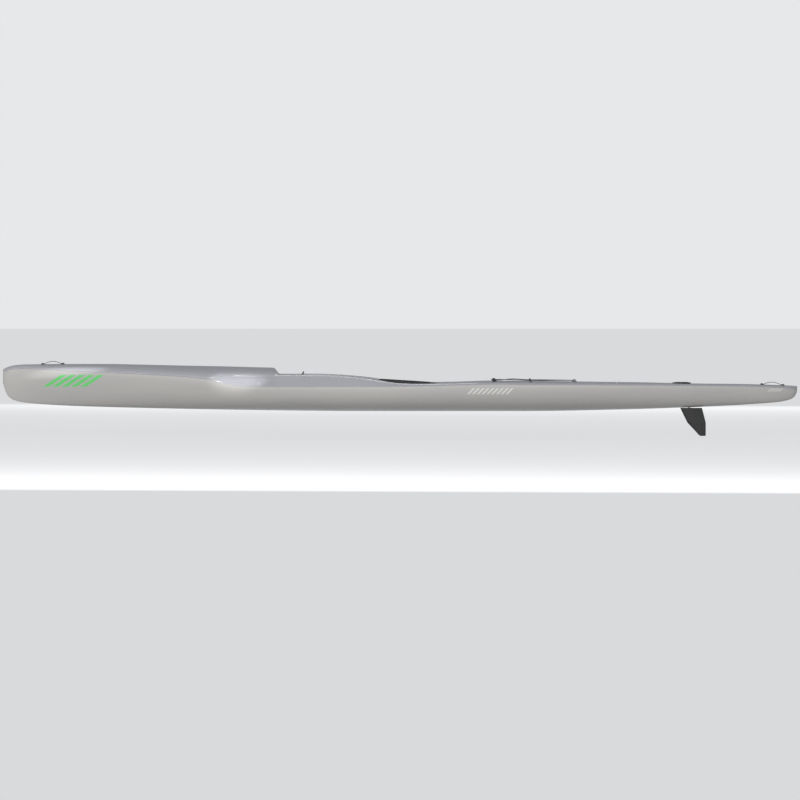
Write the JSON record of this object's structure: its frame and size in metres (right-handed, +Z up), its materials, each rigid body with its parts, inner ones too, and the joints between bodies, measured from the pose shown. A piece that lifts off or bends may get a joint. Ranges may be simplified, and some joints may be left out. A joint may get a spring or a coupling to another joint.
{
  "type": "surfski",
  "caption": "Long narrow sit-on-top paddle craft with a moulded foot well and bucket seat, sliding foot rest with steering pedals, and a rudder hung under the tail.",
  "frame": {"origin": "centre of the flat keel strip's underside at mid-length", "axes": "+X aft along the keel, +Y to starboard, +Z up"},
  "size_m": [5.5, 0.56, 0.5186],
  "materials": {
    "hull_gelcoat": "smooth glossy gelcoat, light warm grey",
    "deck_gelcoat": "smooth glossy gelcoat, light cool grey",
    "closed_foam": "matt closed-cell foam",
    "core_foam": "cut foam block",
    "black_nylon": "fine-grained moulded nylon",
    "webbing": "woven nylon webbing",
    "shock_cord": "rubber cord in a braided cover",
    "stainless": "stainless steel, brushed",
    "alloy": "satin anodised",
    "rudder_composite": "dark moulded composite, satin",
    "pale_nylon": "pale grey nylon",
    "guide_plastic": "translucent-looking white tube",
    "line": "braided low-stretch line"
  },
  "bodies": {
    "craft": {"hull_shell": "hull_gelcoat", "deck_shell": "deck_gelcoat", "foot_tunnel": "deck_gelcoat", "foot_well": "deck_gelcoat", "seat_well": "deck_gelcoat", "seat_pad": "closed_foam", "hatch_seal": "closed_foam", "seat_support_foam": "core_foam", "lower_bush": "black_nylon", "upper_bush": "black_nylon", "hatch_ring": "black_nylon", "bailer_housing": "black_nylon", "bow_handle_plate_front": "black_nylon", "bow_handle_plate_rear": "black_nylon", "stern_handle_plate_front": "black_nylon", "stern_handle_plate_rear": "black_nylon", "cord_eye_fore_port": "black_nylon", "cord_eye_fore_starboard": "black_nylon", "cord_eye_mid_port": "black_nylon", "cord_eye_mid_starboard": "black_nylon", "cord_eye_aft": "black_nylon", "leash_eye_port": "black_nylon", "leash_eye_starboard": "black_nylon", "bow_handle_strap": "webbing", "stern_handle_strap": "webbing", "shock_cord": "shock_cord", "bailer_pin": "stainless", "bow_handle_screw_front": "stainless", "bow_handle_screw_rear": "stainless", "stern_handle_screw_front": "stainless", "stern_handle_screw_rear": "stainless", "foot_rail_port": "alloy", "foot_rail_starboard": "alloy", "drain_bush": "pale_nylon", "rudder_spacer": "guide_plastic", "rudder_tube": "guide_plastic", "guide_tube_port": "guide_plastic", "guide_tube_starboard": "guide_plastic", "rudder_line_port": "line", "rudder_line_starboard": "line"},
    "rudder": {"rudder_blade": "rudder_composite", "rudder_stock": "stainless", "tiller_arm": "alloy", "tiller_screw": "stainless"},
    "footrest": {"footplate": "black_nylon", "pedal_hinge_pin": "stainless", "foot_strap": "webbing", "strap_buckle": "black_nylon", "rail_bolt_port": "stainless", "rail_bolt_starboard": "stainless"},
    "pedal_port": {"pedal_port": "black_nylon"},
    "pedal_starboard": {"pedal_starboard": "black_nylon"},
    "lock_knob_port": {"lock_knob_port": "black_nylon"},
    "lock_knob_starboard": {"lock_knob_starboard": "black_nylon"},
    "hatch_cover": {"hatch_cover": "black_nylon"},
    "drain_plug": {"drain_plug": "pale_nylon"},
    "bailer_flap": {"bailer_flap": "black_nylon"}
  },
  "joints": [
    {"name": "rudder_turn", "type": "hinge", "parent": "craft", "child": "rudder", "pos_m": [2.002, 0, 0.1], "axis": [0, 0, 1], "range_deg": [-35, 35], "deforming": ["rudder_line_port", "rudder_line_starboard"]},
    {"name": "footrest_slide", "type": "slide", "parent": "craft", "child": "footrest", "axis": [1, 0, 0], "range_m": [-0.02, 0.15], "deforming": ["rudder_line_port", "rudder_line_starboard"]},
    {"name": "pedal_port_tilt", "type": "hinge", "parent": "footrest", "child": "pedal_port", "pos_m": [-0.8615, 0, 0.18701], "axis": [0, 1, 0], "range_deg": [-17.5, 17.5], "deforming": ["rudder_line_port"]},
    {"name": "pedal_starboard_tilt", "type": "hinge", "parent": "footrest", "child": "pedal_starboard", "pos_m": [-0.8615, 0, 0.18701], "axis": [0, 1, 0], "range_deg": [-17.5, 17.5], "deforming": ["rudder_line_starboard"]},
    {"name": "lock_knob_port_turn", "type": "hinge", "parent": "footrest", "child": "lock_knob_port", "pos_m": [-0.7845, -0.08, 0.06], "axis": [0, 0, 1], "range_deg": [0, 360]},
    {"name": "lock_knob_starboard_turn", "type": "hinge", "parent": "footrest", "child": "lock_knob_starboard", "pos_m": [-0.7845, 0.08, 0.06], "axis": [0, 0, 1], "range_deg": [0, 360]},
    {"name": "hatch_cover_turn", "type": "hinge", "parent": "craft", "child": "hatch_cover", "pos_m": [1.94975, 0, 0.19], "axis": [0, 0, 1], "range_deg": [0, 90]},
    {"name": "drain_plug_turn", "type": "hinge", "parent": "craft", "child": "drain_plug", "pos_m": [1.49985, 0, 0.2], "axis": [0, 0, 1], "range_deg": [0, 360]},
    {"name": "bailer_flap_swing", "type": "hinge", "parent": "craft", "child": "bailer_flap", "pos_m": [-0.57149, 0, 0.0068], "axis": [0, 1, 0], "range_deg": [0, 20]}
  ],
  "couplings": [
    {"joint": "pedal_port_tilt", "follows": "rudder_turn", "ratio": 0.5},
    {"joint": "pedal_starboard_tilt", "follows": "rudder_turn", "ratio": -0.5}
  ]
}
